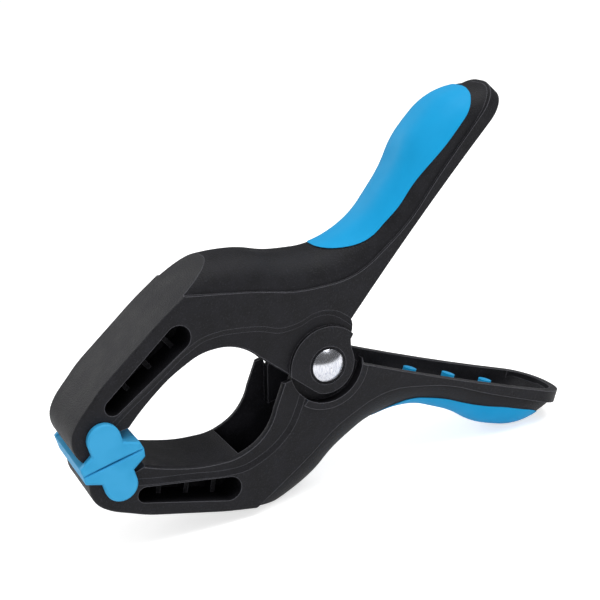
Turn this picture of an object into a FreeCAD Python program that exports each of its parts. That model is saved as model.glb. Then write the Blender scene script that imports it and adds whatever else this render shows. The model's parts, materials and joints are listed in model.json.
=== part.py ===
# Spring clamp with two moulded levers, soft grips, swivelling jaw pads and a torsion spring.
# All lengths are in millimetres. Each lever is drawn in a lever frame: u runs towards the handles,
# v away from the other lever, y across the clamp, and the pads meet on v = 0. The jaws point to -u.
# The axle lies a little nearer the lower lever. The whole clamp is turned to its stance at the end.

import FreeCAD, Part
import math
import os

# Lever body

LEVER_WIDTH = 25.6
SIDE_WALL = 2.6
CROWN_WALL = 3.3
CROWN_STEP = 0.8
CROWN_RADIUS = 10.4
CROWN_TOP_FLAT = 0.2
CROWN_ABOVE_RIM = 1.5
THROAT_ROUND = 2.2
BACK_ROUND = 0.8
END_WALL = 3.0
END_FLAT = 2.2

# Ears and axle

AXLE = (0.8, -2.8)
AXLE_RADIUS = 3.0
AXLE_SEAT_GAP = 0.02
AXLE_RUNNING_GAP = 0.06
EAR_RADIUS = 9.4
EAR_FLAT = 0.3
BOSS_RADIUS = 12.9
BOSS_RISE = 0.45
EAR_GAP = 0.12
OUTER_EAR_SINK = 0.4
INNER_EAR = 2.4
RECESS_RADIUS = 12.5
RECESS_EDGE = 2.5
COLLAR_WIDTH = 2.3
COLLAR_START = 24.0
COLLAR_END = 140.0
LEDGE_DEPTH = 0.8
LEDGE_SLOPE = 1.8

# Rivet and washer

HEAD_RADIUS = 5.4
HEAD_HEIGHT = 2.7
HEAD_EDGE = 0.6
TAIL_RADIUS = 4.6
TAIL_HEIGHT = 1.9
WASHER_RADIUS = 6.1
WASHER_THICKNESS = 0.8
DISH_GAP = 0.2
DISH_DEPTH = 0.5

# Torsion spring

WIRE = 2.4
COIL_PITCH = 3.0
COIL_RADIUS = 6.9
FULL_TURNS = 3
LEG_LENGTH = 43.0
LEG_GAP = 0.12
HUB_GAP = 0.5
HUB_LENGTH = 2.0

# Jaw tip and pad

BARREL = (-73.1, 8.0)
BARREL_RADIUS = 4.4
BARREL_RUNNING_GAP = 0.08
HOOK_WALL = 4.8
HOOK_END_ANGLE = 212.0
LIP_END_ANGLE = -6.0
LOBE_BRIM = 0.7
LOBE_FOOT = 5.0
NECK_ANGLE = 40.0
PAD_TOE = 10.1
PAD_HEEL = 9.6
PAD_HEEL_FLAT = 3.4
PAD_TOE_LEAN = 0.5
PAD_PLATE = 2.6
PAD_HOLLOW = 0.25
CHEEK = 1.9
PAD_SIDE_GAP = 0.15
PAD_BEVEL = 0.5

# Side pockets of the jaw

POCKET_TIP = (-67.0, 15.6)
POCKET_TIP_RADIUS = 2.6
POCKET_ROOT = (-42.0, 27.1)
POCKET_ROOT_RADIUS = 4.0
MIDDLE_WEB = 2.4
RIB_COUNT = 3
RIB_START = 6.6
RIB_PITCH = 9.1
RIB_THICKNESS = 1.5
RIB_SINK = 7.0

# Soft grip

GRIP_DEPTH = 1.6
GRIP_RISE = 0.3
PLUG_RADIUS = 2.3
PLUG_COUNT = 3
PLUG_START = 27.0
PLUG_PITCH = 16.3
PLUG_BELOW_RIM = 2.0

# Standing angle: the clamp rests on the back of its lower lever

STANCE = 11.4

# Side outline of a lever. The crease is the line between the flat side and the crowned back,
# the ridge is the top of the crowned back, and the throat is the inner edge of the jaw.

KINK = (-36.0, 38.3)
BAND_TOP = (-48.0, 33.0)
BAND_FOOT = (-66.0, 23.9)
HEEL = (-76.0, 17.4)
BAND_BEND = 3.5
HEEL_BEND = 7.0
CREASE = [KINK, (-18.0, 31.6), (2.0, 23.6), (18.0, 21.6), (34.0, 27.0), (60.0, 44.2), (84.2, 60.4)]
RIDGE = [(-44.0, 43.7), (-33.0, 44.4), (-14.0, 41.1), (0.0, 34.7), (14.0, 31.6), (27.0, 33.9), (40.0, 42.3),
         (54.0, 55.5), (66.0, 61.3), (82.0, 60.2), (98.0, 51.4)]
THROAT = [(-56.0, 11.9), (-45.0, 16.7), (-35.0, 18.5), (-26.0, 15.9)]
THROAT_END = 21.8
EAR_LINE_ANGLE = 216.9
EAR_BACK_ANGLE = 10.0
EAR_BACK_SAG = 0.1
NOTCH = (10.7, 2.3)
NOSE = (12.7, 4.9)
RIM_START = (12.8, 8.3)
RIM_END = (86.8, 56.5)
RIM_BOW = 0.9
GRIP_EDGE = [(-2.0, 40.0), (8.0, 33.7), (16.5, 30.3), (26.0, 29.7), (36.0, 33.9), (49.0, 42.8), (64.0, 51.6),
             (73.0, 58.0), (75.6, 61.2), (76.0, 66.0)]

# Upper line of the lower ledge along the throat, and how it runs on: round the boss of the outer
# ears as a hood, or into the recess beside the inner ears
LEDGE = [(-70.0, 10.6), (-66.0, 12.5), (-53.0, 17.8), (-40.0, 23.0), (-35.5, 24.0), (-30.0, 23.7),
         (-22.4, 21.6)]
HOOD = [(-16.3, 19.2), (-10.2, 15.8), (-4.4, 15.0), (1.7, 15.6), (5.1, 15.0), (8.8, 13.1), (12.4, 9.2),
        (16.0, 3.5)]
LEDGE_END = [(-16.0, 17.7), (-11.5, 12.6), (-7.5, 6.5)]

# The crowned back and the flat sides are joined along this line, which lies inside the wall. At
# CROWN_FRONT, along u, the crown's outline turns straight up from the plane of the band.
CROWN_JOIN = [(60.0, 42.0), (45.0, 31.6), (30.0, 22.0), (12.0, 18.0), (-10.0, 22.0), (-33.0, 33.0)]
CROWN_FRONT = -8.0

# The hollow ends here in the massive jaw, and the inner ears reach this far into the hollow
HOLLOW_FRONT = [(-35.2, 20.0), (-33.4, 33.0), (-24.0, 38.8)]
INNER_EAR_ROOT = [(16.0, 17.0), (-15.5, 17.0)]
INNER_EAR_TOP = 9.0
INNER_EAR_RIM = (1.0, 0.8)

# A cutting body reaches this far past the piece that it cuts, and fused bodies overlap by this much
PAST = 2.0
FAR = 30.0
OVERLAP = 0.4

# Points on the spring's wire are taken this far apart to measure its gap to itself
WIRE_STEP = 0.4

# Sizes that follow from the ones above

HALF = LEVER_WIDTH / 2
HOLLOW_HALF = HALF - SIDE_WALL
CROWN_HALF = HALF - CROWN_STEP
HOLLOW_RADIUS = CROWN_RADIUS - (CROWN_WALL + CROWN_HALF - HOLLOW_HALF) / 2
END_RADIUS = HALF - END_FLAT / 2
LOWER_AXLE = (AXLE[0], -AXLE[1])
OUTER_EAR_FACE = -HOLLOW_HALF + OUTER_EAR_SINK
INNER_EAR_FACE = OUTER_EAR_FACE + EAR_GAP
HUB_FACE = INNER_EAR_FACE + INNER_EAR
HUB_RADIUS = COIL_RADIUS - WIRE / 2 - HUB_GAP
DISH_RADIUS = WASHER_RADIUS + DISH_GAP
HEAD_SEAT = HALF + BOSS_RISE - DISH_DEPTH
HOOK_RADIUS = BARREL_RADIUS + HOOK_WALL
LOBE_RADIUS = BARREL_RADIUS + LOBE_BRIM
PAD_HALF = HALF + PAD_SIDE_GAP + CHEEK


def vec(u, v, y=0.0):
    return FreeCAD.Vector(u, y, v)


def line(a, b):
    return Part.LineSegment(vec(*a), vec(*b)).toShape()


def lines(points):
    return [line(a, b) for a, b in zip(points, points[1:])]


def arc(a, middle, b):
    return Part.Arc(vec(*a), vec(*middle), vec(*b)).toShape()


def bow(a, b, sag):
    # Arc from a to b whose middle stands off the chord by sag, to the left when sag is positive
    du, dv = b[0] - a[0], b[1] - a[1]
    length = math.hypot(du, dv)
    middle = ((a[0] + b[0]) / 2 - dv / length * sag, (a[1] + b[1]) / 2 + du / length * sag)
    return arc(a, middle, b)


def polar(radius, degrees, centre=(0.0, 0.0)):
    a = math.radians(degrees)
    return (centre[0] + radius * math.cos(a), centre[1] + radius * math.sin(a))


def direction(a, b):
    return math.degrees(math.atan2(b[1] - a[1], b[0] - a[0]))


def smooth(points):
    # The points with the heading, in degrees, of a smooth line at each of them
    legs = [direction(a, b) for a, b in zip(points, points[1:])]
    headings = []
    for i in range(1, len(points) - 1):
        turn = (legs[i] - legs[i - 1] + 180.0) % 360.0 - 180.0
        before = math.dist(points[i - 1], points[i])
        after = math.dist(points[i], points[i + 1])
        headings.append(legs[i - 1] + turn * before / (before + after))
    first = 2 * legs[0] - headings[0]
    last = 2 * legs[-1] - headings[-1]
    return list(zip(points, [first] + headings + [last]))


def shifted(states, distance):
    return [(polar(distance, heading + 90.0, point), heading) for point, heading in states]


def chain(states):
    # Tangent arcs, two from each point to the next
    edges = []
    for (p0, h0), (p1, h1) in zip(states, states[1:]):
        edges += biarc(vec(*p0), vec(*polar(1.0, h0)), vec(*p1), vec(*polar(1.0, h1)))
    return edges


def biarc(p0, t0, p1, t1):
    # Two tangent arcs from p0 with unit heading t0 to p1 with unit heading t1
    v = p1 - p0
    a = 2 * t0.dot(t1) - 2
    b = -2 * v.dot(t0 + t1)
    c = v.dot(v)
    d = -c / b if abs(a) < 1e-6 else (-b - math.sqrt(b * b - 4 * a * c)) / (2 * a)
    joint = (p0 + t0 * d + p1 - t1 * d) * 0.5
    return [tangent_arc(p0, t0, joint), tangent_arc(p1, t1 * -1, joint, True)]


def tangent_arc(start, tangent, end, swap=False):
    chord = end - start
    unit = chord * (1 / chord.Length)
    side = tangent - unit * tangent.dot(unit)
    if swap:
        start, end = end, start
    if side.Length < 1e-6:
        return Part.LineSegment(start, end).toShape()
    angle = math.atan2(side.Length, tangent.dot(unit))
    middle = (start + end) * 0.5 + side * (chord.Length / 2 * math.tan(angle / 2) / side.Length)
    return Part.Arc(start, middle, end).toShape()


def plate(edges, y0, y1):
    solid = Part.Face(Part.Wire(edges)).extrude(FreeCAD.Vector(0, y1 - y0, 0))
    solid.translate(FreeCAD.Vector(0, y0, 0))
    return solid


def polygon(points, y0, y1):
    return plate(lines(points + [points[0]]), y0, y1)


def disc(radius, y0, y1, centre=(0.0, 0.0)):
    return Part.makeCylinder(radius, y1 - y0, vec(centre[0], centre[1], y0), FreeCAD.Vector(0, 1, 0))


def revolved(edges):
    face = Part.Face(Part.Wire(edges))
    return face.revolve(FreeCAD.Vector(0, 0, 0), FreeCAD.Vector(0, 1, 0), 360)


def both_sides(shape):
    return [shape, shape.mirror(FreeCAD.Vector(0, 0, 0), FreeCAD.Vector(0, 1, 0))]


def clean(shape):
    shape = shape.removeSplitter()
    if shape.ShapeType != "Solid":
        shape = max(shape.Solids, key=lambda s: s.Volume)
    return shape


# Points on the side outline

def ear_line_point(along, axle=AXLE):
    # Point on the straight front edge of an ear, beside the axle when along is 0
    foot = polar(EAR_RADIUS - EAR_FLAT, EAR_LINE_ANGLE, axle)
    return polar(along, EAR_LINE_ANGLE - 90.0, foot)


def ear_foot(axle=AXLE):
    half_chord = math.sqrt(EAR_RADIUS ** 2 - (EAR_RADIUS - EAR_FLAT) ** 2)
    return ear_line_point(-half_chord, axle)


def ear_arc(axle=AXLE):
    # Round of the ear from the foot of its straight edge to its back, under the axle
    start = direction(axle, ear_foot(axle))
    middle = polar(EAR_RADIUS, (start + EAR_BACK_ANGLE) / 2, axle)
    return arc(ear_foot(axle), middle, polar(EAR_RADIUS, EAR_BACK_ANGLE, axle))


def band_heading():
    return direction(BAND_TOP, BAND_FOOT)


def crown_front_point(u):
    # Point on the plane of the band where it runs on through the crown
    slope = math.tan(math.radians(band_heading() - BAND_BEND))
    return (u, KINK[1] + slope * (u - KINK[0]))


def rim_length():
    return math.dist(RIM_START, RIM_END)


def handle_point(along, above):
    rim = direction(RIM_START, RIM_END)
    return polar(above, rim + 90.0, polar(along, rim, RIM_START))


def throat_edges():
    lip = polar(HOOK_RADIUS, LIP_END_ANGLE, BARREL)
    ear_top = ear_line_point(THROAT_END)
    return chain(smooth([lip] + THROAT + [ear_top])) + [line(ear_top, ear_foot())]


def jaw_back_edges():
    # Band that bends a little at both ends of its flat, heel, and back of the hook round the barrel
    hook_back = polar(HOOK_RADIUS, 180.0, BARREL)
    hook_end = polar(HOOK_RADIUS, HOOK_END_ANGLE, BARREL)
    hook_middle = polar(HOOK_RADIUS, (180.0 + HOOK_END_ANGLE) / 2, BARREL)
    flat = band_heading()
    bend = chain([(KINK, flat - BAND_BEND), (BAND_TOP, flat)])
    heel = chain([(BAND_FOOT, flat), (HEEL, flat + HEEL_BEND), (hook_back, -90.0)])
    return bend + [line(BAND_TOP, BAND_FOOT)] + heel + [arc(hook_back, hook_middle, hook_end)]


def side_outline():
    lip = polar(HOOK_RADIUS, LIP_END_ANGLE, BARREL)
    hook_end = polar(HOOK_RADIUS, HOOK_END_ANGLE, BARREL)
    ear_back = polar(EAR_RADIUS, EAR_BACK_ANGLE, AXLE)
    return throat_edges() + [
        ear_arc(),
        bow(ear_back, NOTCH, EAR_BACK_SAG),
        arc(NOTCH, NOSE, RIM_START),
        bow(RIM_START, RIM_END, RIM_BOW),
        line(RIM_END, CREASE[-1]),
    ] + chain(smooth(CREASE[::-1])) + jaw_back_edges() + [line(hook_end, BARREL), line(BARREL, lip)]


# Flat-sided body of a lever with rounded throat edges

def near_curve(edge, curves, reach=0.01):
    middle = edge.valueAt((edge.FirstParameter + edge.LastParameter) / 2)
    probe = Part.Vertex(vec(middle.x, middle.z))
    return any(probe.distToShape(c)[0] < reach for c in curves)


def lies_across(edge):
    return abs(edge.Vertexes[0].Y - edge.Vertexes[-1].Y) > 0.001


def rounded_end(inset):
    # Corner pieces that round the end of the handle as seen from above
    centre_y = HALF - END_RADIUS
    room = Part.makeBox(END_RADIUS + FAR, END_RADIUS + FAR, 3 * FAR, FreeCAD.Vector(0, centre_y, 0))
    post = Part.makeCylinder(END_RADIUS - inset, 3 * FAR, FreeCAD.Vector(0, centre_y, 0))
    corner = room.cut(post)
    corner.rotate(FreeCAD.Vector(0, 0, 0), FreeCAD.Vector(0, 1, 0), -direction(RIM_START, RIM_END))
    corner.translate(vec(*handle_point(rim_length() - END_RADIUS, -FAR)))
    return both_sides(corner)


def side_body():
    body = plate(side_outline(), -HALF, HALF).cut(rounded_end(0.0))
    throat = throat_edges()
    edges = [e for e in body.Edges if not lies_across(e) and near_curve(e, throat)]
    body = body.makeFillet(THROAT_ROUND, edges)
    back = jaw_back_edges()
    edges = [e for e in body.Edges if not lies_across(e) and near_curve(e, back)]
    return body.makeFillet(BACK_ROUND, edges)


# Crowned back: a block under the ridge line with both long edges rounded

def crown_block(distance, half_width, radius, floor):
    # Block under the ridge line, which is first shifted outwards by the distance
    states = shifted(smooth(RIDGE), distance)
    top = chain(states)
    first, last = states[0][0], states[-1][0]
    rest = lines([last, (last[0], floor), (first[0], floor), first])
    block = plate(top + rest, -half_width, half_width)
    long_edges = [e for e in block.Edges if not lies_across(e) and near_curve(e, top)]
    return block.makeFillet(min(radius, half_width - CROWN_TOP_FLAT), long_edges)


def crown_region():
    end = rim_length() - CROWN_STEP
    front = crown_front_point(CROWN_FRONT)
    over = [(CROWN_FRONT, front[1] + FAR), handle_point(end, FAR)]
    return [KINK, front] + over + [handle_point(end, CROWN_ABOVE_RIM)] + CROWN_JOIN


def crown(rise=0.0):
    block = crown_block(rise, CROWN_HALF + rise, CROWN_RADIUS + rise, -FAR)
    return block.common(polygon(crown_region(), -HALF - PAST, HALF + PAST)).cut(rounded_end(CROWN_STEP))


def hollow():
    block = crown_block(-CROWN_WALL, HOLLOW_HALF, HOLLOW_RADIUS, -2 * FAR)
    end = rim_length() - END_WALL
    front, back = HOLLOW_FRONT[0], handle_point(end, -FAR)
    over = [(HOLLOW_FRONT[-1][0], 2 * FAR), handle_point(end, FAR)]
    region = [(front[0], -FAR)] + HOLLOW_FRONT + over + [back, (back[0], -FAR)]
    return block.common(polygon(region, -HALF, HALF)).cut(rounded_end(END_WALL))


# Side pockets of the jaw with cross ribs and a middle web

def pocket():
    along = direction(POCKET_TIP, POCKET_ROOT)
    length = math.dist(POCKET_TIP, POCKET_ROOT)
    lean = math.degrees(math.acos((POCKET_TIP_RADIUS - POCKET_ROOT_RADIUS) / length))
    a0 = polar(POCKET_TIP_RADIUS, along + lean, POCKET_TIP)
    a1 = polar(POCKET_ROOT_RADIUS, along + lean, POCKET_ROOT)
    b0 = polar(POCKET_TIP_RADIUS, along - lean, POCKET_TIP)
    b1 = polar(POCKET_ROOT_RADIUS, along - lean, POCKET_ROOT)
    outline = [line(a0, a1), arc(a1, polar(POCKET_ROOT_RADIUS, along, POCKET_ROOT), b1), line(b1, b0),
               arc(b0, polar(POCKET_TIP_RADIUS, along + 180.0, POCKET_TIP), a0)]
    room = plate(outline, -HALF - PAST, -MIDDLE_WEB / 2)
    return room.cut([pocket_rib(RIB_START + i * RIB_PITCH) for i in range(RIB_COUNT)])


def pocket_rib(place):
    along = direction(POCKET_TIP, POCKET_ROOT)
    rib = Part.makeBox(RIB_THICKNESS, HALF, FAR, vec(-RIB_THICKNESS / 2, -FAR / 2, -HALF + RIB_SINK))
    rib.rotate(FreeCAD.Vector(0, 0, 0), FreeCAD.Vector(0, 1, 0), -along)
    rib.translate(vec(*polar(place, along, POCKET_TIP)))
    return rib


def socket():
    return disc(BARREL_RADIUS + BARREL_RUNNING_GAP, -HALF - PAST, HALF + PAST, BARREL)


def plain_lever():
    body = side_body().fuse(crown()).cut(hollow())
    return body.cut(both_sides(pocket()) + [socket()])


# Soft grip on the crown, with plugs that pass through the crown into the handle

def grip_region():
    first, last = GRIP_EDGE[0], GRIP_EDGE[-1]
    rest = lines([last, (last[0], last[1] + FAR), (first[0], last[1] + FAR), first])
    return plate(chain(smooth(GRIP_EDGE)) + rest, -HALF - PAST, HALF + PAST)


def plugs():
    shapes = []
    for i in range(PLUG_COUNT):
        foot = vec(*handle_point(PLUG_START + i * PLUG_PITCH, PLUG_BELOW_RIM))
        top = vec(*handle_point(PLUG_START + i * PLUG_PITCH, PLUG_BELOW_RIM + FAR))
        shapes.append(Part.makeCylinder(PLUG_RADIUS, FAR, foot, top - foot))
    return shapes


def grip(under_grip):
    skin = crown(GRIP_RISE).common(grip_region()).cut(under_grip)
    inside = crown(-GRIP_DEPTH / 2)
    return clean(skin.fuse([clean(p.common(inside)) for p in plugs()]))


def grip_seat(body, under_grip):
    seat = grip_region().cut(under_grip)
    return clean(body.cut([seat] + plugs()))


# Swivelling pad, drawn for the upper jaw. Its clamping face lies on v = 0.

def pad_outline(toe_side, top, heel_side, inset=0.0):
    # The plate under a barrel or lobe whose top is an arc; the sides are the points down to the plate
    toe, heel = BARREL[0] + PAD_TOE - inset, BARREL[0] - PAD_HEEL + inset
    plate_top = PAD_PLATE - inset
    right = lines([(toe, inset), (toe - PAD_TOE_LEAN, plate_top)] + toe_side)
    left = lines(heel_side + [(heel, plate_top), (heel, inset)])
    face = arc((heel, inset), ((toe + heel) / 2, PAD_HOLLOW + inset), (toe, inset))
    return [face] + right + [arc(toe_side[-1], top, heel_side[0])] + left


def core_outline():
    # Between the jaw's cheeks: the barrel on a neck that leaves room for the hook
    right = polar(BARREL_RADIUS, -NECK_ANGLE, BARREL)
    left = polar(BARREL_RADIUS, 180.0 + NECK_ANGLE, BARREL)
    step = (BARREL[0] - PAD_HEEL + PAD_HEEL_FLAT, PAD_PLATE)
    return pad_outline([right], polar(BARREL_RADIUS, 90.0, BARREL), [left, step])


def cheek_outline(inset=0.0):
    # Beside the jaw: a lobe with straight sides and sloping flanks
    radius = LOBE_RADIUS - inset
    right, left, foot = BARREL[0] + radius, BARREL[0] - radius, LOBE_FOOT - inset
    return pad_outline([(right, foot), (right, BARREL[1])], polar(radius, 90.0, BARREL),
                       [(left, BARREL[1]), (left, foot)], inset)


def cheek(inner, outer):
    wires = [Part.Wire(cheek_outline()), Part.Wire(cheek_outline(PAD_BEVEL))]
    for wire, y in zip(wires, (-outer + PAD_BEVEL, -outer)):
        wire.translate(FreeCAD.Vector(0, y, 0))
    bevel = Part.makeLoft(wires, True, True)
    return plate(cheek_outline(), -outer + PAD_BEVEL, -inner).fuse(bevel)


def pad():
    inner = HALF + PAD_SIDE_GAP
    core = plate(core_outline(), -inner, inner)
    return clean(core.fuse(both_sides(cheek(inner, PAD_HALF))))


# Lower ledge that runs along the throat, with a sloping step up to the flat side

def ledge_wire(distance, y, points):
    # Closed line at depth y: the ledge's line, shifted towards the throat, and a way round the throat
    states = shifted(smooth(points), -distance)
    first, last = states[0][0], states[-1][0]
    rest = lines([last, (last[0], -FAR), (first[0], -FAR), first])
    wire = Part.Wire(chain(states) + rest)
    wire.translate(FreeCAD.Vector(0, y, 0))
    return wire


def ledge(points):
    # The step's slope is carried on past the side face
    steep = LEDGE_SLOPE / LEDGE_DEPTH
    outside = ledge_wire(-PAST * steep, -HALF - PAST, points)
    floor = ledge_wire(LEDGE_SLOPE, -HALF + LEDGE_DEPTH, points)
    return Part.makeLoft([outside, floor], True, True)


# Upper lever: outer ears with a raised boss and a dish for the rivet, under a hood

def upper_lever(body, under_grip):
    boss = disc(BOSS_RADIUS, -HALF - BOSS_RISE, OUTER_EAR_FACE, AXLE)
    boss = boss.common(plate(side_outline(), -HALF - PAST, 0))
    dish = disc(DISH_RADIUS, -HALF - BOSS_RISE - PAST, -HEAD_SEAT, AXLE)
    bore = disc(AXLE_RADIUS + AXLE_SEAT_GAP, -HALF - PAST, HALF + PAST, AXLE)
    body = body.cut(both_sides(ledge(LEDGE + HOOD))).fuse(both_sides(boss))
    return grip_seat(body.cut(both_sides(dish) + [bore]), under_grip)


# Lower lever: inner ears with hubs for the spring, a recess for the outer ears, a raised collar

def inner_ear():
    back = polar(EAR_RADIUS, EAR_BACK_ANGLE, LOWER_AXLE)
    top = ear_line_point(INNER_EAR_TOP, LOWER_AXLE)
    right = handle_point(*INNER_EAR_RIM)
    outline = [ear_arc(LOWER_AXLE)] + lines([back, right] + INNER_EAR_ROOT + [top, ear_foot(LOWER_AXLE)])
    return plate(outline, -HOLLOW_HALF - OVERLAP, HUB_FACE)


def collar():
    band = disc(RECESS_RADIUS + COLLAR_WIDTH, -HALF - BOSS_RISE, -HALF + LEDGE_DEPTH + OVERLAP, LOWER_AXLE)
    middle = (COLLAR_START + COLLAR_END) / 2
    wedge = [LOWER_AXLE] + [polar(FAR, a, LOWER_AXLE) for a in (COLLAR_START, middle, COLLAR_END)]
    return band.common(polygon(wedge, -HALF - PAST, 0)).common(plate(side_outline(), -HALF - PAST, 0))


def recess():
    # Room for the outer ear: round the axle, and straight on past the throat
    round_room = disc(RECESS_RADIUS, -HALF - PAST, INNER_EAR_FACE, LOWER_AXLE)
    corners = [(-FAR, -FAR), (FAR, -FAR), (FAR, RECESS_EDGE), (-FAR, RECESS_EDGE)]
    return round_room.fuse(polygon(corners, -HALF - PAST, INNER_EAR_FACE))


def lower_lever(body, under_grip):
    hub = disc(HUB_RADIUS, HUB_FACE - OVERLAP, HUB_FACE + HUB_LENGTH, LOWER_AXLE)
    bore = disc(AXLE_RADIUS + AXLE_RUNNING_GAP, -HALF - PAST, HALF + PAST, LOWER_AXLE)
    body = body.cut(both_sides(ledge(LEDGE + LEDGE_END)))
    body = body.fuse(both_sides(collar()) + both_sides(inner_ear()) + both_sides(hub))
    return grip_seat(body.cut(both_sides(recess()) + [bore]), under_grip)


# Rivet with a domed head on the near side and an upset tail over a washer on the far side

def domed_button(seat, side, radius, edge, height):
    # A revolved button: flat underside at y = seat, straight edge, spherical top towards side
    rise = height - edge
    sphere = (radius ** 2 + rise ** 2) / (2 * rise)
    r = radius / 2
    h = height - sphere + math.sqrt(sphere ** 2 - r ** 2)
    top = FreeCAD.Vector(0, seat + side * height, 0)
    foot = FreeCAD.Vector(0, seat, 0)
    rim = FreeCAD.Vector(radius, seat, 0)
    shoulder = FreeCAD.Vector(radius, seat + side * edge, 0)
    dome = Part.Arc(shoulder, FreeCAD.Vector(r, seat + side * h, 0), top).toShape()
    sides = [Part.LineSegment(a, b).toShape() for a, b in ((top, foot), (foot, rim), (rim, shoulder))]
    return revolved(sides + [dome])


def pivot_rivet():
    washer_top = HEAD_SEAT + WASHER_THICKNESS
    shank = disc(AXLE_RADIUS, -HEAD_SEAT - HEAD_EDGE, washer_top + HEAD_EDGE)
    head = domed_button(-HEAD_SEAT, -1, HEAD_RADIUS, HEAD_EDGE, HEAD_HEIGHT)
    tail = domed_button(washer_top, 1, TAIL_RADIUS, HEAD_EDGE, TAIL_HEIGHT)
    return on_axle(clean(shank.fuse([head, tail])))


def rivet_washer():
    ring = disc(WASHER_RADIUS, HEAD_SEAT, HEAD_SEAT + WASHER_THICKNESS)
    return on_axle(ring.cut(disc(AXLE_RADIUS, 0, HALF + FAR)))


def on_axle(shape):
    shape.translate(vec(*AXLE))
    return shape


# Torsion spring: a coil of arcs round the axle and two straight legs that lean on the crowns.
# It is drawn with the axle at the origin.

def leg_touches(leg_angle, axle):
    # True when a leg would come nearer than LEG_GAP to the rounded inside of its crown.
    # The coil is never longer than a half turn more than its full turns.
    beside = (FULL_TURNS + 0.5) * COIL_PITCH / 2 - (HOLLOW_HALF - HOLLOW_RADIUS)
    room = HOLLOW_RADIUS - WIRE / 2 - LEG_GAP
    depth = HOLLOW_RADIUS - math.sqrt(room ** 2 - beside ** 2)
    wall = Part.Wire(chain(shifted(smooth(RIDGE), -CROWN_WALL - depth)))
    start = polar(COIL_RADIUS, 90.0 + leg_angle, axle)
    leg = line(start, polar(LEG_LENGTH, leg_angle, start))
    return leg.distToShape(wall)[0] < 0.001


def resting_leg_angle(axle):
    low, high = 5.0, 60.0
    while high - low > 0.01:
        middle = (low + high) / 2
        if leg_touches(middle, axle):
            high = middle
        else:
            low = middle
    return low


def coil_state(turn, turns, lower_angle):
    angle = math.radians(270.0 - lower_angle - turn * 360.0)
    y = (turn - turns / 2) * COIL_PITCH
    point = FreeCAD.Vector(COIL_RADIUS * math.cos(angle), y, COIL_RADIUS * math.sin(angle))
    tangent = FreeCAD.Vector(math.sin(angle), 0, -math.cos(angle))
    if 0.01 < turn < turns - 0.01:
        tangent.y = COIL_PITCH / (2 * math.pi * COIL_RADIUS)
    tangent.normalize()
    return point, tangent


def spring_path(upper_angle, lower_angle):
    turns = FULL_TURNS + (180.0 - upper_angle - lower_angle) / 360.0
    steps = 4 * FULL_TURNS + 2
    states = [coil_state(turns * i / steps, turns, lower_angle) for i in range(steps + 1)]
    first, last = states[0], states[-1]
    edges = [Part.LineSegment(first[0] - first[1] * LEG_LENGTH, first[0]).toShape()]
    for (p0, t0), (p1, t1) in zip(states, states[1:]):
        edges += biarc(p0, t0, p1, t1)
    edges.append(Part.LineSegment(last[0], last[0] + last[1] * LEG_LENGTH).toShape())
    return edges


def torsion_spring():
    upper_angle, lower_angle = resting_leg_angle(AXLE), resting_leg_angle(LOWER_AXLE)
    print("spring legs at %.2f and %.2f degrees" % (upper_angle, lower_angle))
    edges = spring_path(upper_angle, lower_angle)
    start = edges[0].valueAt(edges[0].FirstParameter)
    heading = edges[0].tangentAt(edges[0].FirstParameter)
    pipe = Part.BRepOffsetAPI.MakePipeShell(Part.Wire(edges))
    pipe.add(Part.Wire(Part.makeCircle(WIRE / 2, start, heading)))
    pipe.build()
    pipe.makeSolid()
    report_spring_gap(edges)
    return on_axle(pipe.shape())


def report_spring_gap(edges):
    # Points about half a turn or more apart along the wire are compared
    points = []
    travelled = 0.0
    for edge in edges:
        count = max(2, int(edge.Length / WIRE_STEP))
        for p in edge.discretize(count)[:-1]:
            points.append((travelled, p))
            travelled += edge.Length / (count - 1)
    half_turn = math.pi * COIL_RADIUS
    least = min(a[1].distanceToPoint(b[1]) for i, a in enumerate(points) for b in points[i + 1:]
                if b[0] - a[0] > half_turn)
    print("least gap of the spring to itself: %.2f mm" % (least - WIRE))


# Assembly in the standing position

def lower(shape):
    return shape.mirror(FreeCAD.Vector(0, 0, 0), FreeCAD.Vector(0, 0, 1))


def stand(shapes):
    for shape in shapes.values():
        shape.rotate(FreeCAD.Vector(0, 0, 0), FreeCAD.Vector(0, 1, 0), -STANCE)
    box = FreeCAD.BoundBox()
    for shape in shapes.values():
        box.add(shape.optimalBoundingBox(False, False))
    shift = FreeCAD.Vector(-box.Center.x, -box.Center.y, -box.ZMin)
    for shape in shapes.values():
        shape.translate(shift)
    print("size %.2f x %.2f x %.2f" % (box.XLength, box.YLength, box.ZLength))
    back = polar(math.dist(BAND_TOP, BAND_FOOT) / 2, band_heading(), BAND_TOP)
    places = {
        "middle": (0.0, 0.0),
        "axle": AXLE,
        "upper barrel": BARREL,
        "lower barrel": (BARREL[0], -BARREL[1]),
        "lower jaw back": (back[0], -back[1]),
    }
    for name, place in places.items():
        x, z = polar(math.hypot(*place), direction((0.0, 0.0), place) + STANCE, (shift.x, shift.z))
        print("%s at x %.4f y %.4f z %.4f" % (name, x, shift.y, z))


def main():
    os.makedirs("parts", exist_ok=True)
    plain = plain_lever()
    under_grip = crown(-GRIP_DEPTH)
    soft_grip = grip(under_grip)
    jaw_pad = pad()
    shapes = {
        "upper_lever": upper_lever(plain, under_grip),
        "lower_lever": lower(lower_lever(plain, under_grip)),
        "upper_grip": soft_grip,
        "lower_grip": lower(soft_grip),
        "upper_pad": jaw_pad,
        "lower_pad": lower(jaw_pad),
        "pivot_rivet": pivot_rivet(),
        "rivet_washer": rivet_washer(),
        "torsion_spring": torsion_spring(),
    }
    stand(shapes)
    for name, shape in shapes.items():
        print("%s: solids %d, valid %s, %.0f mm3" % (name, len(shape.Solids), shape.isValid(), shape.Volume))
        shape.exportStep("parts/%s.step" % name)


main()
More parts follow.
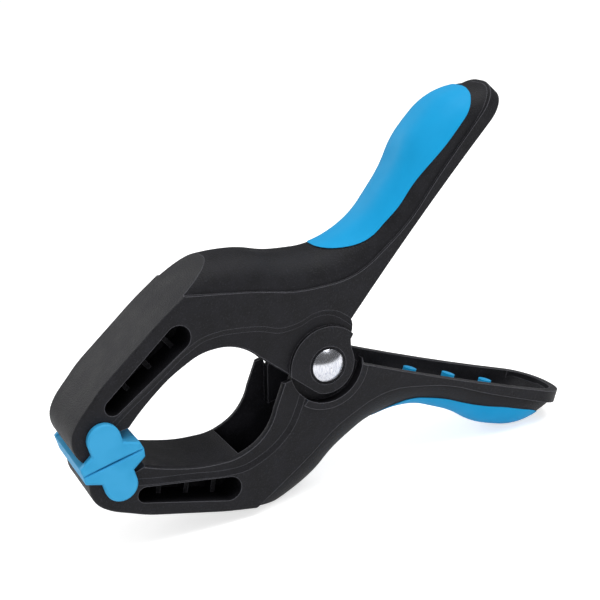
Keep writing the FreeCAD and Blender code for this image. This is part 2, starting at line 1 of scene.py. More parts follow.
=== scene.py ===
# %% [markdown]
# A moulded spring clamp
#
# The clamp is a small family of parts: two black nylon levers, two blue soft grips, two blue
# swivelling pads, a bright rivet with its washer, and a wound wire spring that closes the jaws.
# The shapes of the hard parts come from the construction model, at their real size and in their
# real places. This lesson gives them their finishes, makes the soft and wound parts anew, and
# sets up a quiet studio round them.

# %% Load the construction model
import json
import math

import bmesh
import bpy
from mathutils import Matrix, Vector

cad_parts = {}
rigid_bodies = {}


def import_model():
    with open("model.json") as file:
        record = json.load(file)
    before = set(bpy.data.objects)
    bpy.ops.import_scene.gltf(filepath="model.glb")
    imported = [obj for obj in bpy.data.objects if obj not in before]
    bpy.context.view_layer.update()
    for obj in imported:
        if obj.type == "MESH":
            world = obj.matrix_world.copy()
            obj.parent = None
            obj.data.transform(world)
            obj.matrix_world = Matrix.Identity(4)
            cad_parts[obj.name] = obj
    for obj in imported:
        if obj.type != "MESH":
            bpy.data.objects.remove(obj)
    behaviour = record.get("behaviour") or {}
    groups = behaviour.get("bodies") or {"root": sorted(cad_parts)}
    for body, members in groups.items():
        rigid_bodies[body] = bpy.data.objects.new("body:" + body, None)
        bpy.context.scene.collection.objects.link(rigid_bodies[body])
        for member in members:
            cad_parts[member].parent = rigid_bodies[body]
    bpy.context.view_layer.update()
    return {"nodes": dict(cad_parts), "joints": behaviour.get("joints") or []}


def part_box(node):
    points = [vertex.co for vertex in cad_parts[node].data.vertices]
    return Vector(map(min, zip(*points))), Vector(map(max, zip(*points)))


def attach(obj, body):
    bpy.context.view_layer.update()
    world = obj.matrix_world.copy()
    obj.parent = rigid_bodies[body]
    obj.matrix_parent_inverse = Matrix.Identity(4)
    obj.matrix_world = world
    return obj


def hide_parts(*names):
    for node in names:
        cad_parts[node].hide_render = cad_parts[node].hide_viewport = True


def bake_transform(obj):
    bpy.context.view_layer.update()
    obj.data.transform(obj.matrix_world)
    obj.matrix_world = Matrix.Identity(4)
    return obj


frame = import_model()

nodes = frame["nodes"]
joints = {joint["name"]: joint for joint in frame["joints"]}
print("pieces:", sorted(nodes))

# %% [markdown]
# Sizes are given in millimetres, as on a drawing of the clamp, and the scene is in metres. Two
# small helpers keep the rest short. One turns a colour as a designer writes it, in sRGB hex, into
# the linear values that a shader works in. The other adds a node with its settings and inputs, and
# takes a plain value or another node's output for each input.

# %% Units, colours and nodes
MM = 0.001


def linear(hex_colour):
    channels = [int(hex_colour[i:i + 2], 16) / 255 for i in (1, 3, 5)]
    return [c / 12.92 if c <= 0.04045 else ((c + 0.055) / 1.055) ** 2.4 for c in channels] + [1.0]


def add_node(tree, kind, settings=None, inputs=None):
    node = tree.nodes.new(kind)
    for name, value in (settings or {}).items():
        setattr(node, name, value)
    for socket, value in (inputs or {}).items():
        if isinstance(value, bpy.types.NodeSocket):
            tree.links.new(value, node.inputs[socket])
        else:
            node.inputs[socket].default_value = value
    return node


print("1 mm is", MM, "m")

# %% [markdown]
# Every finish below starts as an empty node tree and ends in one shader. Its patterns could be
# painted on an unwrapped picture, but these shapes have many small faces and no natural seams. So
# they are noise read from the piece's own coordinates, which has its real size everywhere and
# moves with the piece. A noise seldom leaves the middle of its range, so that middle is stretched
# to the whole step of a colour or a gloss.

# %% Starting and finishing a material
COLOUR_SPAN = (0.35, 0.65)
GLOSS_SPAN = (0.3, 0.7)
BEVEL_SAMPLES = 6


def new_material(name):
    material = bpy.data.materials.new(name)
    material.use_nodes = True
    material.node_tree.nodes.clear()
    return material, material.node_tree


def finish_material(material, tree, shader):
    add_node(tree, "ShaderNodeOutputMaterial", inputs={"Surface": shader.outputs["BSDF"]})
    print("material:", material.name, "with", len(tree.nodes), "nodes")
    return material


print("a noise from", COLOUR_SPAN[0], "to", COLOUR_SPAN[1], "covers a whole step of colour")

# %% [markdown]
# No moulded edge is knife-sharp, and hands polish the edges that they reach. The small rounds
# could be cut in the mesh, but there are very many. The Bevel node only turns the surface's
# direction near an edge, so that the edge catches a thin line of light, and where that direction
# leaves the plain one there is an edge. There the colour is made paler, a painted highlight that
# also stands for the polish of hands. The Ambient Occlusion node tells how open a place is, among
# the piece's own walls only. Where those walls close in, the colour is painted darker as painted
# shade, and the painted highlight is kept out.

# %% Painted light: highlighted, worn edges and painted shade in nooks
# The cosine between the rounded and the plain direction, where an edge starts and where it is full
EDGE_STARTS = 0.998
EDGE_FULL = 0.96
PAINTED_SHADE_REACH = 9.0 * MM
PAINTED_SHADE_SAMPLES = 4
# below the first openness the colour is all painted shade, above the second it has none
PAINTED_SHADE_FULL_AT = 0.4
PAINTED_SHADE_GONE_AT = 0.8


def edge_mask(tree, rounded):
    # 1 on an edge and 0 away from it
    plain = add_node(tree, "ShaderNodeNewGeometry")
    along = add_node(tree, "ShaderNodeVectorMath", {"operation": "DOT_PRODUCT"}, {
        0: rounded.outputs["Normal"], 1: plain.outputs["Normal"]})
    return add_node(tree, "ShaderNodeMapRange", inputs={
        "Value": along.outputs["Value"], "From Min": EDGE_STARTS, "From Max": EDGE_FULL,
        "To Min": 0.0, "To Max": 1.0})


def colour_with_painted_light(tree, colour, painted_shade_colour, edge_highlight_colour, rounded):
    # the piece's own colour, with painted shade in the nooks and a painted highlight, also for
    # wear, on the open edges
    edge = edge_mask(tree, rounded)
    nook = add_node(tree, "ShaderNodeAmbientOcclusion", {
        "samples": PAINTED_SHADE_SAMPLES, "only_local": True}, {"Distance": PAINTED_SHADE_REACH})
    unshaded_share = add_node(tree, "ShaderNodeMapRange", inputs={
        "Value": nook.outputs["AO"], "From Min": PAINTED_SHADE_FULL_AT, "From Max": PAINTED_SHADE_GONE_AT})
    highlit_edge = add_node(tree, "ShaderNodeMath", {"operation": "MULTIPLY"}, {
        0: edge.outputs["Result"], 1: unshaded_share.outputs["Result"]})
    # painted shade: the colour turns darker where the piece's own walls close in
    painted_shade = add_node(tree, "ShaderNodeMix", {"data_type": "RGBA"}, {
        "Factor": unshaded_share.outputs["Result"], "A": linear(painted_shade_colour), "B": colour})
    # a painted highlight on the open edges, which also stands for their wear
    worn_and_highlit = add_node(tree, "ShaderNodeMix", {"data_type": "RGBA"}, {
        "Factor": highlit_edge.outputs["Value"], "A": painted_shade.outputs["Result"], "B": linear(edge_highlight_colour)})
    return worn_and_highlit.outputs["Result"]


print("a nook is looked for within", round(PAINTED_SHADE_REACH / MM, 1), "mm")

# %% [markdown]
# The levers are glass-filled nylon, injection-moulded in a spark-eroded steel mould, which leaves
# a fine sandy grain of about a tenth of a millimetre. That is too fine to show from here, so it is
# drawn at half a millimetre, and its highest spots are a little lighter, as the glass in them is.
# The melt also leaves soft patches some millimetres wide, a touch lighter or shinier than the
# rest. To the eye this is a near-black satin that is nowhere quite even.

# %% Lever finish: moulded glass-filled nylon
NYLON = "#17171a"
NYLON_PATCH = "#1f1f23"
NYLON_FLECK = "#29292e"
# the paler colour of open edges: a painted highlight, which also stands for wear by hands
NYLON_EDGE_HIGHLIGHT = "#5e5e64"
# the colour of closed-in places: painted shade, not a colour of the nylon itself
NYLON_PAINTED_SHADE = "#09090b"
NYLON_GRAIN = 0.5 * MM
NYLON_PATCH_WIDTH = 6.0 * MM
NYLON_EDGE_ROUND = 0.35 * MM
FLECK_SPAN = (0.56, 0.72)
SATIN = (0.48, 0.6)
NYLON_BUMP = 0.9
NYLON_BUMP_HEIGHT = 0.25 * MM
NYLON_IOR = 1.5
MOULDED_SPECULAR = 0.2


def nylon_colour(tree, grain, patch):
    # near black, lighter in the patches and in the flecks where the grain is highest
    share = add_node(tree, "ShaderNodeMapRange", inputs={
        "Value": patch.outputs["Fac"], "From Min": COLOUR_SPAN[0], "From Max": COLOUR_SPAN[1]})
    body = add_node(tree, "ShaderNodeMix", {"data_type": "RGBA"}, {
        "Factor": share.outputs["Result"], "A": linear(NYLON), "B": linear(NYLON_PATCH)})
    fleck = add_node(tree, "ShaderNodeMapRange", inputs={
        "Value": grain.outputs["Fac"], "From Min": FLECK_SPAN[0], "From Max": FLECK_SPAN[1]})
    flecked = add_node(tree, "ShaderNodeMix", {"data_type": "RGBA"}, {
        "Factor": fleck.outputs["Result"], "A": body.outputs["Result"], "B": linear(NYLON_FLECK)})
    return flecked.outputs["Result"]


def moulded_nylon():
    material, tree = new_material("glass_filled_nylon_moulded")
    place = add_node(tree, "ShaderNodeTexCoord")
    grain = add_node(tree, "ShaderNodeTexNoise", inputs={
        "Vector": place.outputs["Object"], "Scale": 1 / NYLON_GRAIN,
        "Detail": 2.0, "Roughness": 0.6})
    patch = add_node(tree, "ShaderNodeTexNoise", inputs={
        "Vector": place.outputs["Object"], "Scale": 1 / NYLON_PATCH_WIDTH,
        "Detail": 3.0, "Roughness": 0.55})
    rounded = add_node(tree, "ShaderNodeBevel", {"samples": BEVEL_SAMPLES}, {
        "Radius": NYLON_EDGE_ROUND})
    # painted shade in the nooks and a painted highlight on the edges
    colour = colour_with_painted_light(tree, nylon_colour(tree, grain, patch), NYLON_PAINTED_SHADE, NYLON_EDGE_HIGHLIGHT, rounded)
    gloss = add_node(tree, "ShaderNodeMapRange", inputs={
        "Value": patch.outputs["Fac"], "From Min": GLOSS_SPAN[0], "From Max": GLOSS_SPAN[1],
        "To Min": SATIN[0], "To Max": SATIN[1]})
    bump = add_node(tree, "ShaderNodeBump", inputs={
        "Height": grain.outputs["Fac"], "Normal": rounded.outputs["Normal"],
        "Strength": NYLON_BUMP, "Distance": NYLON_BUMP_HEIGHT})
    shader = add_node(tree, "ShaderNodeBsdfPrincipled", inputs={
        "Base Color": colour, "Roughness": gloss.outputs["Result"],
        "Normal": bump.outputs["Normal"], "IOR": NYLON_IOR,
        "Specular IOR Level": MOULDED_SPECULAR})
    return finish_material(material, tree, shader)


lever_nylon = moulded_nylon()

# %% [markdown]
# The grips are a soft rubbery plastic, moulded over the nylon in a second shot. Soft plastic has a
# matt skin with a faint bloom at glancing angles, so it gets a higher roughness and a little sheen.
# The pads are a harder plastic of nearly the same blue, a bit glossier and without the bloom. Both
# skins carry the mould's fine grain, drawn at three or four tenths of a millimetre so that it
# shows at all, and clouds of a slightly deeper blue where the colour is not quite mixed.

# %% Blue finishes: soft overmould and hard pads
SOFT_BLUE = "#0c9dd7"
SOFT_BLUE_DEEP = "#0b9ad4"
PAD_BLUE = "#3da6da"
PAD_BLUE_DEEP = "#349ed2"
SOFT_GRAIN = 0.3 * MM
PAD_GRAIN = 0.4 * MM
CLOUD_WIDTH = 9.0 * MM
CLOUD_GLOSS = 0.05
BLUE_BUMP_HEIGHT = 0.06 * MM
BLUE_IOR = 1.49


def moulded_blue(name, colour, deep, grain_size, roughness, bump_strength, sheen, edge_round):
    material, tree = new_material(name)
    place = add_node(tree, "ShaderNodeTexCoord")
    grain = add_node(tree, "ShaderNodeTexNoise", inputs={
        "Vector": place.outputs["Object"], "Scale": 1 / grain_size, "Detail": 2.0})
    cloud = add_node(tree, "ShaderNodeTexNoise", inputs={
        "Vector": place.outputs["Object"], "Scale": 1 / CLOUD_WIDTH, "Detail": 2.0})
    rounded = add_node(tree, "ShaderNodeBevel", {"samples": BEVEL_SAMPLES}, {
        "Radius": edge_round})
    share = add_node(tree, "ShaderNodeMapRange", inputs={
        "Value": cloud.outputs["Fac"], "From Min": COLOUR_SPAN[0], "From Max": COLOUR_SPAN[1]})
    body = add_node(tree, "ShaderNodeMix", {"data_type": "RGBA"}, {
        "Factor": share.outputs["Result"], "A": linear(colour), "B": linear(deep)})
    gloss = add_node(tree, "ShaderNodeMapRange", inputs={
        "Value": cloud.outputs["Fac"], "From Min": GLOSS_SPAN[0], "From Max": GLOSS_SPAN[1],
        "To Min": roughness - CLOUD_GLOSS, "To Max": roughness + CLOUD_GLOSS})
    bump = add_node(tree, "ShaderNodeBump", inputs={
        "Height": grain.outputs["Fac"], "Normal": rounded.outputs["Normal"],
        "Strength": bump_strength, "Distance": BLUE_BUMP_HEIGHT})
    shader = add_node(tree, "ShaderNodeBsdfPrincipled", inputs={
        "Base Color": body.outputs["Result"], "Roughness": gloss.outputs["Result"],
        "Normal": bump.outputs["Normal"], "IOR": BLUE_IOR,
        "Sheen Weight": sheen, "Specular IOR Level": MOULDED_SPECULAR})
    return finish_material(material, tree, shader)


grip_soft = moulded_blue(
    "soft_elastomer_overmoulded", SOFT_BLUE, SOFT_BLUE_DEEP, grain_size=SOFT_GRAIN,
    roughness=0.6, bump_strength=0.25, sheen=0.03, edge_round=0.2 * MM)
pad_plastic = moulded_blue(
    "hard_plastic_pad_moulded", PAD_BLUE, PAD_BLUE_DEEP, grain_size=PAD_GRAIN,
    roughness=0.5, bump_strength=0.15, sheen=0.0, edge_round=0.25 * MM)

# %% [markdown]
# The rivet is cold-headed steel with bright zinc plate, and the spring is drawn steel wire.
# Heading and drawing drag the surface, and plating leaves it bright but streaky. The streaks are a
# noise squeezed to a quarter of a millimetre across and drawn out to two millimetres along. They
# change the gloss and the height, not the colour alone, because metal has hardly any colour of its
# own: what the eye sees is how sharply it reflects.

# %% Metal finishes: zinc plate and drawn wire
ZINC = "#e9eaf0"
ZINC_DULL = "#b4b9c8"
WIRE_STEEL = "#8a8b8e"
WIRE_DARK = "#5a5b5f"
STREAK_WIDTH = 0.25 * MM
STREAK_LENGTH = 2.2 * MM
STREAK_HEIGHT = 0.05 * MM
METAL_EDGE_ROUND = 0.2 * MM
# The spans of the noise over which the bright colour turns dull, and the sharp reflection soft
DULL_SPAN = (0.45, 0.7)
STREAK_SPAN = (0.35, 0.7)


def streaky_metal(name, bright, dull, roughness, bump_strength):
    material, tree = new_material(name)
    place = add_node(tree, "ShaderNodeTexCoord")
    stretch = add_node(tree, "ShaderNodeMapping", inputs={
        "Vector": place.outputs["Object"],
        "Scale": (1 / STREAK_WIDTH, 1 / STREAK_WIDTH, 1 / STREAK_LENGTH)})
    streak = add_node(tree, "ShaderNodeTexNoise", inputs={
        "Vector": stretch.outputs["Vector"], "Scale": 1.0, "Detail": 3.0, "Roughness": 0.65})
    rounded = add_node(tree, "ShaderNodeBevel", {"samples": BEVEL_SAMPLES}, {
        "Radius": METAL_EDGE_ROUND})
    share = add_node(tree, "ShaderNodeMapRange", inputs={
        "Value": streak.outputs["Fac"], "From Min": DULL_SPAN[0], "From Max": DULL_SPAN[1]})
    body = add_node(tree, "ShaderNodeMix", {"data_type": "RGBA"}, {
        "Factor": share.outputs["Result"], "A": linear(bright), "B": linear(dull)})
    gloss = add_node(tree, "ShaderNodeMapRange", inputs={
        "Value": streak.outputs["Fac"], "From Min": STREAK_SPAN[0], "From Max": STREAK_SPAN[1],
        "To Min": roughness[0], "To Max": roughness[1]})
    bump = add_node(tree, "ShaderNodeBump", inputs={
        "Height": streak.outputs["Fac"], "Normal": rounded.outputs["Normal"],
        "Strength": bump_strength, "Distance": STREAK_HEIGHT})
    shader = add_node(tree, "ShaderNodeBsdfPrincipled", inputs={
        "Base Color": body.outputs["Result"], "Metallic": 1.0,
        "Roughness": gloss.outputs["Result"], "Normal": bump.outputs["Normal"]})
    return finish_material(material, tree, shader)


rivet_zinc = streaky_metal(
    "zinc_plated_steel_headed", ZINC, ZINC_DULL, roughness=(0.14, 0.34), bump_strength=0.35)
spring_wire = streaky_metal(
    "spring_steel_drawn", WIRE_STEEL, WIRE_DARK, roughness=(0.3, 0.5), bump_strength=0.2)

# %% [markdown]
# The levers, the pads, the rivet and its washer are hard parts. They could be modelled again as
# smoother meshes, but the construction model's own surfaces carry the true curves, so these stay
# as they are and only take their finish.

# %% Finish of the levers, pads, rivet and washer
for name, material in (("upper_lever", lever_nylon), ("lower_lever", lever_nylon),
                       ("upper_pad", pad_plastic), ("lower_pad", pad_plastic),
                       ("pivot_rivet", rivet_zinc), ("rivet_washer", rivet_zinc)):
    nodes[name].data.materials.clear()
    nodes[name].data.materials.append(material)
    print(name, "takes", material.name)

# %% [markdown]
# The pieces made here need two more helpers. One puts an object with its mesh, lamp or camera in
# the scene. The other works a piece's modifiers into its mesh, so that the piece is plain faces at
# the origin, as the construction model's pieces are.

# %% Adding objects and working modifiers in
def add_object(name, data):
    thing = bpy.data.objects.new(name, data)
    bpy.context.scene.collection.objects.link(thing)
    return thing


def work_modifiers_in(piece):
    bpy.context.view_layer.update()
    evaluated = piece.evaluated_get(bpy.context.evaluated_depsgraph_get())
    mesh = bpy.data.meshes.new_from_object(evaluated)
    piece.modifiers.clear()
    piece.data = mesh
    print(piece.name, "has", len(mesh.polygons), "faces")
    return mesh


print("objects in the scene:", len(bpy.context.scene.collection.all_objects))

# %% [markdown]
# A grip is a soft skin let into the crown of the handle, with three plugs that reach through to
# the channel. The construction model gives its form with hard corners, which soft plastic never
# has. The solid could be rebuilt as an even net of small faces and smoothed, but that makes its
# long thin border wavy. So the solid is copied, its loose triangles are joined, those in one plane
# are merged, and each hard edge gets a real round. That leaves the fine dark line where a grip
# meets the nylon.

# %% Soft grips
WELD = 0.0005 * MM
SAME_PLANE = math.radians(0.3)
GRIP_ROUND = 0.3 * MM
ROUND_STEPS = 3
HARD_ANGLE = math.radians(35)


def joined_mesh(name, source):
    form = bmesh.new()
    form.from_mesh(source)
    bmesh.ops.remove_doubles(form, verts=form.verts, dist=WELD)
    bmesh.ops.dissolve_limit(form, angle_limit=SAME_PLANE, verts=form.verts, edges=form.edges)
    mesh = bpy.data.meshes.new(name)
    form.to_mesh(mesh)
    form.free()
    mesh.shade_smooth()
    return mesh


def soft_copy(name, node):
    piece = add_object(name, joined_mesh(name, nodes[node].data))
    ease = piece.modifiers.new("round", "BEVEL")
    ease.width = GRIP_ROUND
    ease.segments = ROUND_STEPS
    ease.limit_method = "ANGLE"
    ease.angle_limit = HARD_ANGLE
    ease.miter_outer = "MITER_ARC"
    ease.harden_normals = True
    mesh = work_modifiers_in(piece)
    mesh.materials.clear()
    mesh.materials.append(grip_soft)
    return piece


for name, node, body in (("upper_soft_grip", "upper_grip", "upper"),
                         ("lower_soft_grip", "lower_grip", "lower")):
    soft_grip = soft_copy(name, node)
    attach(soft_grip, body)
    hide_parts(node)

# %% [markdown]
# The spring is one length of drawn steel wire: three and a third turns round the axle and a
# straight leg at each end that leans on the inside of a lever. It could be swept along a curve
# drawn point by point, but a turned path is a rule, so it is made with nodes: a spiral curve whose
# first and last points are pulled out along the wire to make the legs, and a round profile swept
# along it. All its sizes are inputs of the tree. A spiral made of short chords is one chord longer
# than the turns, so that its end chords point along the legs.

# %% Sizes of the torsion spring
WIRE_RADIUS = 1.2 * MM
WIRE_SIDES = 20
COIL_RADIUS = 6.9 * MM
COIL_PITCH = 3.0 * MM
LEG_LENGTH = 43.0 * MM
# Degrees by which each leg leans from the length of the clamp, and by which the clamp stands tipped
UPPER_LEG_ANGLE = 38.62
LOWER_LEG_ANGLE = 31.70
STANCE = 11.4
FULL_TURNS = 3
TURNS = FULL_TURNS + (180 - UPPER_LEG_ANGLE - LOWER_LEG_ANGLE) / 360
CHORDS_PER_TURN = 96
CHORD = 1 / CHORDS_PER_TURN
print("the spring has", round(TURNS, 2), "turns")

# %% [markdown]
# The tree is built like a recipe for winding. The group's inputs come first, then the spiral. The
# wire's direction at each end, laid flat, tells which way that end is pulled to make a leg: the
# start backwards and the end forwards. Then the wire gets its thickness, its smooth skin and its
# material.

# %% The spring as a node tree
def pulled_ends(tree, curve, leg):
    # the curve with its first and last points moved one leg's length out along the wire
    tangent = add_node(tree, "GeometryNodeInputTangent")
    level = add_node(tree, "ShaderNodeVectorMath", {"operation": "MULTIPLY"}, {
        0: tangent.outputs["Tangent"], 1: (1, 1, 0)})
    back = add_node(tree, "ShaderNodeMath", {"operation": "MULTIPLY"}, {0: leg, 1: -1.0})
    for start, end, length in ((1, 0, back.outputs["Value"]), (0, 1, leg)):
        tip = add_node(tree, "GeometryNodeCurveEndpointSelection", inputs={
            "Start Size": start, "End Size": end})
        pull = add_node(tree, "ShaderNodeVectorMath", {"operation": "SCALE"}, {
            0: level.outputs["Vector"], "Scale": length})
        moved = add_node(tree, "GeometryNodeSetPosition", inputs={
            "Geometry": curve, "Selection": tip.outputs["Selection"],
            "Offset": pull.outputs["Vector"]})
        curve = moved.outputs["Geometry"]
    return curve


def spring_tree():
    tree = bpy.data.node_groups.new("wound_spring", "GeometryNodeTree")
    for name, value in (("Wire Radius", WIRE_RADIUS), ("Coil Radius", COIL_RADIUS),
                        ("Height", (TURNS + CHORD) * COIL_PITCH), ("Turns", TURNS + CHORD),
                        ("Leg", LEG_LENGTH)):
        socket = tree.interface.new_socket(name, in_out="INPUT", socket_type="NodeSocketFloat")
        socket.default_value = value
    tree.interface.new_socket("Material", in_out="INPUT", socket_type="NodeSocketMaterial")
    tree.interface.new_socket("Geometry", in_out="OUTPUT", socket_type="NodeSocketGeometry")
    sizes = add_node(tree, "NodeGroupInput").outputs
    spiral = add_node(tree, "GeometryNodeCurveSpiral", inputs={
        "Resolution": CHORDS_PER_TURN, "Rotations": sizes["Turns"],
        "Start Radius": sizes["Coil Radius"], "End Radius": sizes["Coil Radius"],
        "Height": sizes["Height"], "Reverse": True})
    curve = pulled_ends(tree, spiral.outputs["Curve"], sizes["Leg"])
    profile = add_node(tree, "GeometryNodeCurvePrimitiveCircle", inputs={
        "Resolution": WIRE_SIDES, "Radius": sizes["Wire Radius"]})
    wire = add_node(tree, "GeometryNodeCurveToMesh", inputs={
        "Curve": curve, "Profile Curve": profile.outputs["Curve"], "Fill Caps": True})
    solid = add_node(tree, "GeometryNodeRealizeInstances", inputs={
        "Geometry": wire.outputs["Mesh"]})
    smooth = add_node(tree, "GeometryNodeSetShadeSmooth", inputs={
        "Geometry": solid.outputs["Geometry"]})
    coated = add_node(tree, "GeometryNodeSetMaterial", inputs={
        "Geometry": smooth.outputs["Geometry"], "Material": sizes["Material"]})
    add_node(tree, "NodeGroupOutput", inputs={"Geometry": coated.outputs["Geometry"]})
    print("spring tree:", len(tree.nodes), "nodes")
    return tree


winding = spring_tree()

# %% [markdown]
# The tree winds the wire upright and from zero height. The mesh is then moved so that the coil's
# middle is at the origin, laid down so that the coil runs across the clamp, and turned until the
# first leg leans on its lever. Three quarters of a turn bring that leg level, and a leg lies along
# a chord, which is half a chord's angle off the start. Last the coil goes to the axle. It is all
# worked into the mesh, so that the piece's object stays at the origin.

# %% Wind the spring and lay it round the axle
def socket_id(tree, name):
    return next(item.identifier for item in tree.interface.items_tree
                if item.name == name and item.in_out == "INPUT")


def wound_spring(centre):
    piece = add_object("wound_torsion_spring", bpy.data.meshes.new("wound_torsion_spring"))
    modifier = piece.modifiers.new("wind", "NODES")
    modifier.node_group = winding
    modifier[socket_id(winding, "Material")] = spring_wire
    mesh = work_modifiers_in(piece)
    middle = Matrix.Translation((0, 0, -(TURNS + CHORD) * COIL_PITCH / 2))
    lay_down = Matrix.Rotation(math.radians(-90), 4, "X")
    lean = math.radians(LOWER_LEG_ANGLE - 270 - STANCE - CHORD * 180)
    mesh.transform(Matrix.Translation(centre) @ Matrix.Rotation(lean, 4, "Y") @ lay_down @ middle)
    return piece


axle = Vector(joints["jaw_pivot"]["pos_m"])
spring = wound_spring(axle)
model_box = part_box("torsion_spring")
print("spring of the model, in mm:", [round(c / MM, 1) for corner in model_box for c in corner])
points = [v.co for v in spring.data.vertices]
print("spring made here, in mm:",
      [round(f(p[i] for p in points) / MM, 1) for f in (min, max) for i in range(3)])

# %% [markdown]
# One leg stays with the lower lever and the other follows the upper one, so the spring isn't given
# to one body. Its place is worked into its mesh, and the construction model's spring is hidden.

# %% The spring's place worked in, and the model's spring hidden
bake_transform(spring)
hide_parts("torsion_spring")

# %% [markdown]
# The clamp stands on a pale matt floor, which is there for its soft shadow. A floor could be lit
# until it is white, but then the clamp would be lit too much. So the floor adds a little light of
# its own where the camera or a reflection looks at it, and the lamps stay at a plain level.

# %% Floor
FLOOR_SIZE = 6.0
FLOOR_GREY = "#e6e6e6"
FLOOR_LIFT = 0.63
FLOOR_SHINE = 0.35


def pale_floor():
    material, tree = new_material("pale_floor")
    rays = add_node(tree, "ShaderNodeLightPath")
    seen = add_node(tree, "ShaderNodeMath", {"operation": "MAXIMUM"}, {
        0: rays.outputs["Is Camera Ray"], 1: rays.outputs["Is Transmission Ray"]})
    shine = add_node(tree, "ShaderNodeMath", {"operation": "MULTIPLY"}, {
        0: rays.outputs["Is Glossy Ray"], 1: FLOOR_SHINE})
    lift = add_node(tree, "ShaderNodeMath", {"operation": "MULTIPLY_ADD"}, {
        0: seen.outputs["Value"], 1: FLOOR_LIFT, 2: shine.outputs["Value"]})
    matt = add_node(tree, "ShaderNodeBsdfDiffuse", inputs={"Color": linear(FLOOR_GREY)})
    glow = add_node(tree, "ShaderNodeEmission", inputs={"Strength": lift.outputs["Value"]})
    both = add_node(tree, "ShaderNodeAddShader", inputs={
        0: matt.outputs["BSDF"], 1: glow.outputs["Emission"]})
    add_node(tree, "ShaderNodeOutputMaterial", inputs={"Surface": both.outputs["Shader"]})
    return material


half = FLOOR_SIZE / 2
floor_corners = [(-half, -half, 0), (half, -half, 0), (half, half, 0), (-half, half, 0)]
floor_mesh = bpy.data.meshes.new("floor")
floor_mesh.from_pydata(floor_corners, [], [(0, 1, 2, 3)])
floor_mesh.materials.append(pale_floor())
floor = add_object("floor", floor_mesh)
print("floor is", FLOOR_SIZE, "m wide")

# %% [markdown]
# The surround is plain white where the camera looks at it, and gives half that light to the clamp.
# In a reflection it is another room: dim in front of the clamp and dim low down all round, with a
# white ceiling. Bright metal has no shade of its own, so without something dark to mirror the
# rivet's dome would look like a flat white disc, and the nylon's satin would turn grey.

# %% White surround
SURROUND = 0.5
ROOM_IN_FRONT = 0.12
ROOM_LOW_DOWN = 0.1
# How far up a reflection looks where the white ceiling starts and where it is full, and how far
# back it looks where the dim front ends and is gone, as parts of a direction of length 1
CEILING_SPAN = (0.5, 0.85)
FRONT_SPAN = (-0.45, -0.1)


def white_surround():
    world = bpy.data.worlds.new("white_surround")
    world.use_nodes = True
    tree = world.node_tree
    tree.nodes.clear()
    rays = add_node(tree, "ShaderNodeLightPath")
    place = add_node(tree, "ShaderNodeTexCoord")
    toward = add_node(tree, "ShaderNodeSeparateXYZ", inputs={"Vector": place.outputs["Generated"]})
    ceiling = add_node(tree, "ShaderNodeMapRange", inputs={
        "Value": toward.outputs["Z"], "From Min": CEILING_SPAN[0], "From Max": CEILING_SPAN[1],
        "To Min": ROOM_LOW_DOWN, "To Max": 1.0})
    mirrored = add_node(tree, "ShaderNodeMapRange", inputs={
        "Value": toward.outputs["Y"], "From Min": FRONT_SPAN[0], "From Max": FRONT_SPAN[1],
        "To Min": ROOM_IN_FRONT, "To Max": ceiling.outputs["Result"]})
    plain = add_node(tree, "ShaderNodeMapRange", inputs={
        "Value": rays.outputs["Is Glossy Ray"], "To Min": SURROUND,
        "To Max": mirrored.outputs["Result"]})
    seen = add_node(tree, "ShaderNodeMath", {"operation": "MAXIMUM"}, {
        0: rays.outputs["Is Camera Ray"], 1: rays.outputs["Is Transmission Ray"]})
    strength = add_node(tree, "ShaderNodeMapRange", inputs={
        "Value": seen.outputs["Value"], "To Min": plain.outputs["Result"], "To Max": 1.0})
    surround = add_node(tree, "ShaderNodeBackground", inputs={
        "Color": (1, 1, 1, 1), "Strength": strength.outputs["Result"]})
    add_node(tree, "ShaderNodeOutputWorld", inputs={"Surface": surround.outputs["Background"]})
    print("surround:", len(tree.nodes), "nodes")
    return world


bpy.context.scene.world = white_surround()

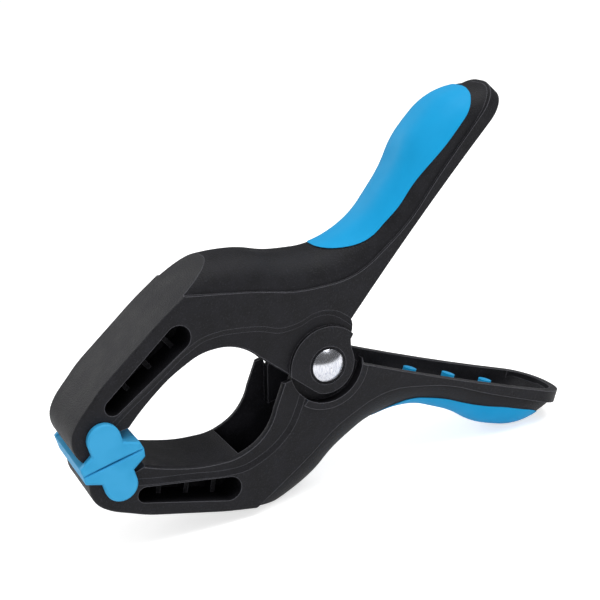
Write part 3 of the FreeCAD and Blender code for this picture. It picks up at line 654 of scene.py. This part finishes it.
# %% [markdown]
# Three soft square lamps light the clamp, at a level where a colour comes out about as it is
# written. The strongest is above, a little to the right and in front, and throws the short shadow.
# A weak one in front, low and to the left, opens the sides of the levers. It is kept out of
# reflections, because it would burn a hot spot into the rivet's dome. The third is behind on the
# left, and its sheen on the flat band of the upper jaw tells the band from the crown.

# %% Lamps
# name, place in metres, width in metres, power in watts, seen in reflections
LAMPS = (
    ("lamp_above", (0.3, -0.25, 0.88), 0.5, 4.6, True),
    ("lamp_front", (-0.45, -0.9, 0.3), 0.6, 2.8, False),
    ("lamp_behind", (-0.45, 0.82, 0.5), 0.5, 3.2, True),
)
LAMP_AIM = (0.0, 0.0, 0.05)


def soft_lamp(name, place, width, power, mirrored):
    lamp = bpy.data.lights.new(name, "AREA")
    lamp.shape = "SQUARE"
    lamp.size = width
    lamp.energy = power
    holder = add_object(name, lamp)
    aim = (Vector(LAMP_AIM) - Vector(place)).to_track_quat("-Z", "Y").to_matrix().to_4x4()
    holder.matrix_world = Matrix.Translation(place) @ aim
    holder.visible_glossy = mirrored
    print(name, power, "W")


for lamp_facts in LAMPS:
    soft_lamp(*lamp_facts)

# %% [markdown]
# The camera looks from the clamp's left and a little above, with a long lens, as in a product
# picture. It is tipped a few degrees about its own line of sight. It starts at a point inside the
# clamp, is turned about the upright axis, up and about its line of sight, and then steps back.

# %% Camera
CAMERA_AZIMUTH = -24.602
CAMERA_ELEVATION = 19.549
CAMERA_ROLL = -4.995
CAMERA_DISTANCE = 382.5 * MM
CAMERA_TARGET = Vector((-7.256, 0.0, 63.419)) * MM
CAMERA_LENS = 72
CAMERA_SENSOR = 36

camera = add_object("camera", bpy.data.cameras.new("camera"))
camera.data.lens = CAMERA_LENS
camera.data.sensor_width = CAMERA_SENSOR
turn = (Matrix.Rotation(math.radians(CAMERA_AZIMUTH), 4, "Z")
        @ Matrix.Rotation(math.radians(90 - CAMERA_ELEVATION), 4, "X")
        @ Matrix.Rotation(math.radians(CAMERA_ROLL), 4, "Z"))
step_back = Matrix.Translation((0, 0, CAMERA_DISTANCE))
camera.matrix_world = Matrix.Translation(CAMERA_TARGET) @ turn @ step_back
bpy.context.scene.camera = camera
bpy.context.scene.view_settings.view_transform = "Standard"
print("camera at", [round(c / MM, 1) for c in camera.matrix_world.translation], "mm")
